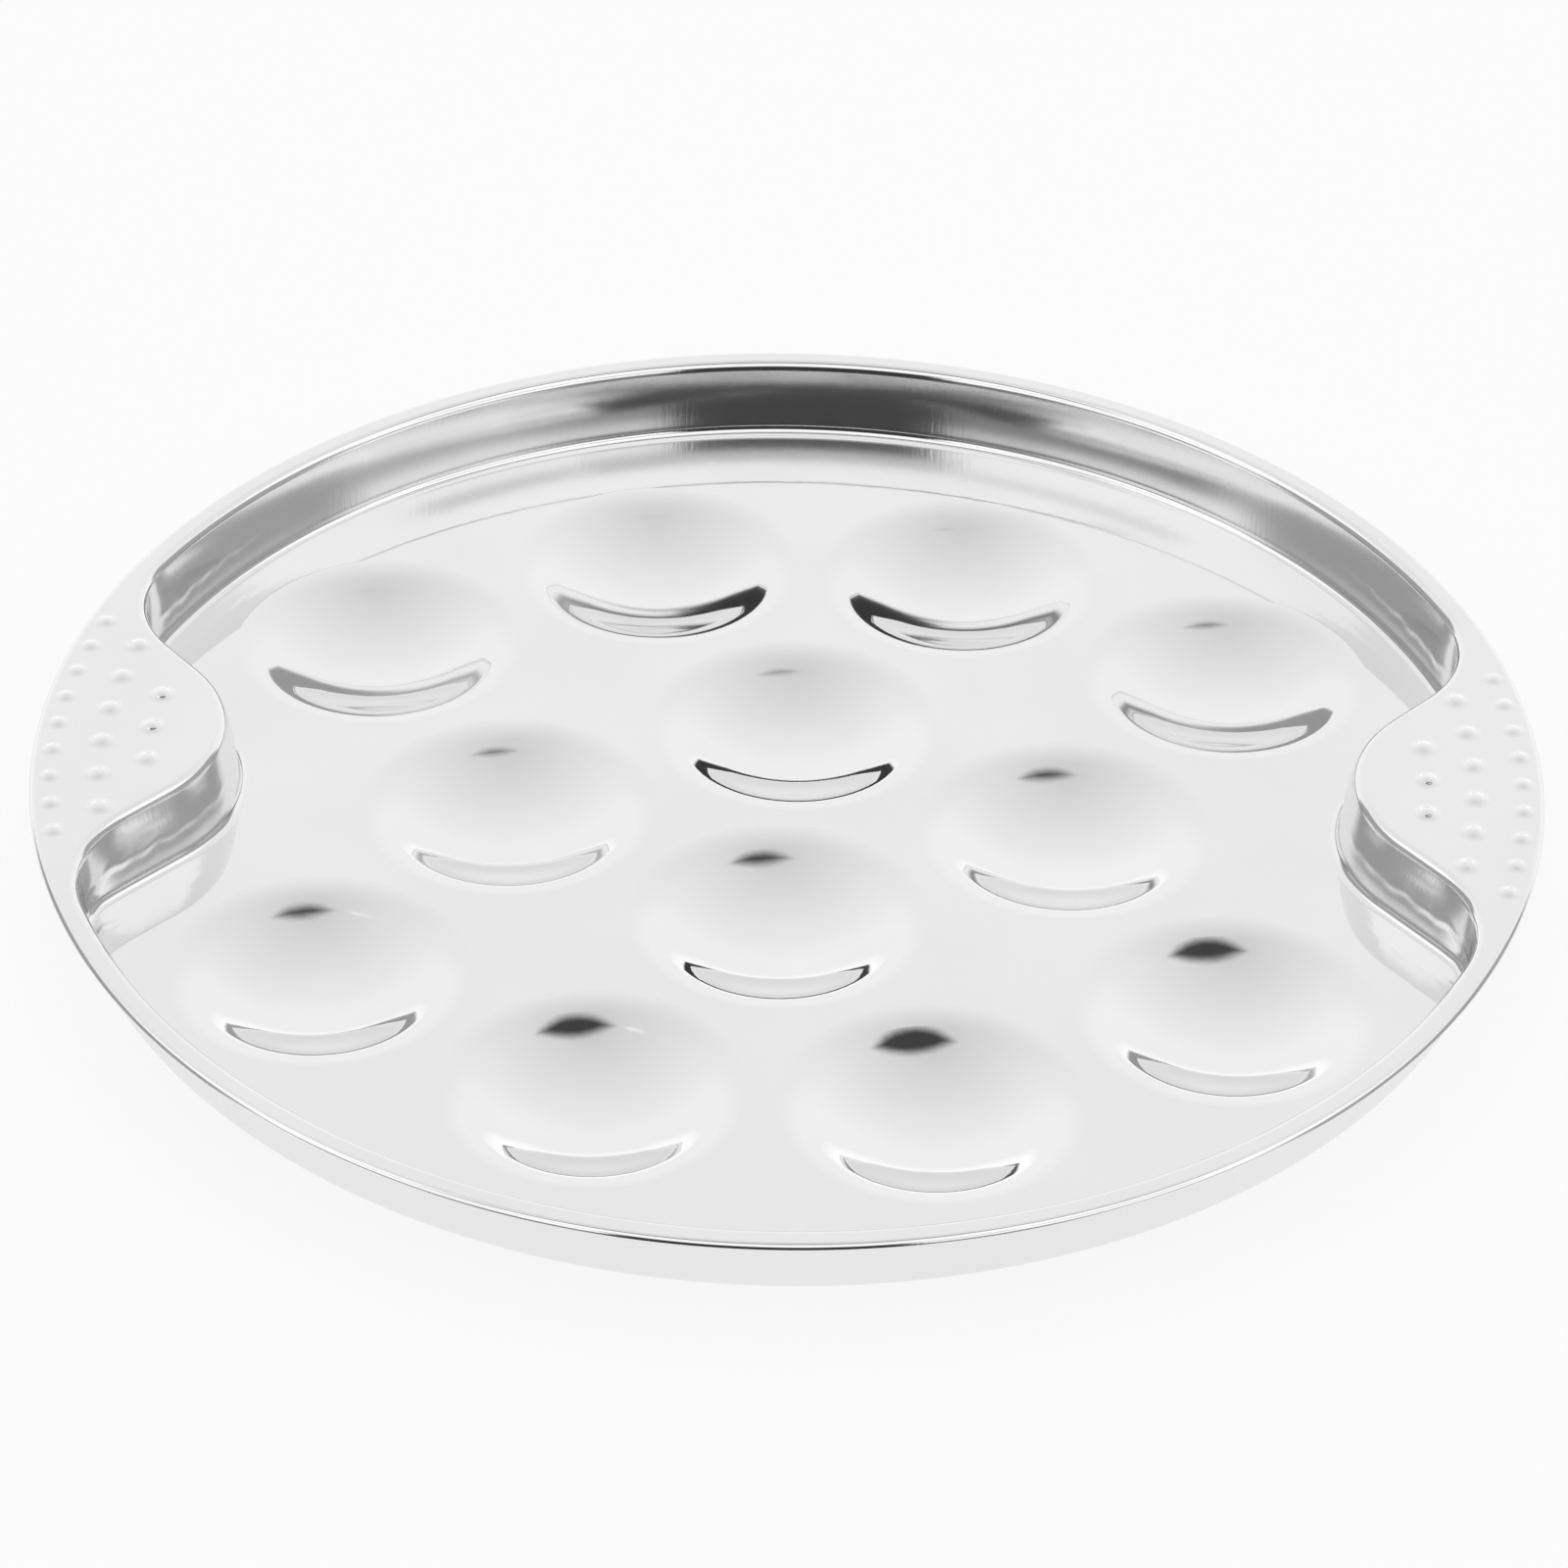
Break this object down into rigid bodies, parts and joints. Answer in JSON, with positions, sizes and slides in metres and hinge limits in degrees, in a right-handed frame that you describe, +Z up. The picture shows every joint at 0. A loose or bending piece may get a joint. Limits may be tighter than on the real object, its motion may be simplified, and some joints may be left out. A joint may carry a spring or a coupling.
{
  "type": "escargot plate",
  "caption": "Round polished steel escargot plate with a ring of round dishes pressed in its floor, a low wall, a narrow rim and two dimpled side grips.",
  "frame": {"origin": "middle of the plate, at the plane that its dishes stand on", "axes": "+Z up, +X through one of the two side grips"},
  "size_m": [0.24, 0.24, 0.0197],
  "materials": {
    "plate": "mirror polished"
  },
  "bodies": {
    "root": {"escargot_plate": "plate"}
  },
  "joints": []
}
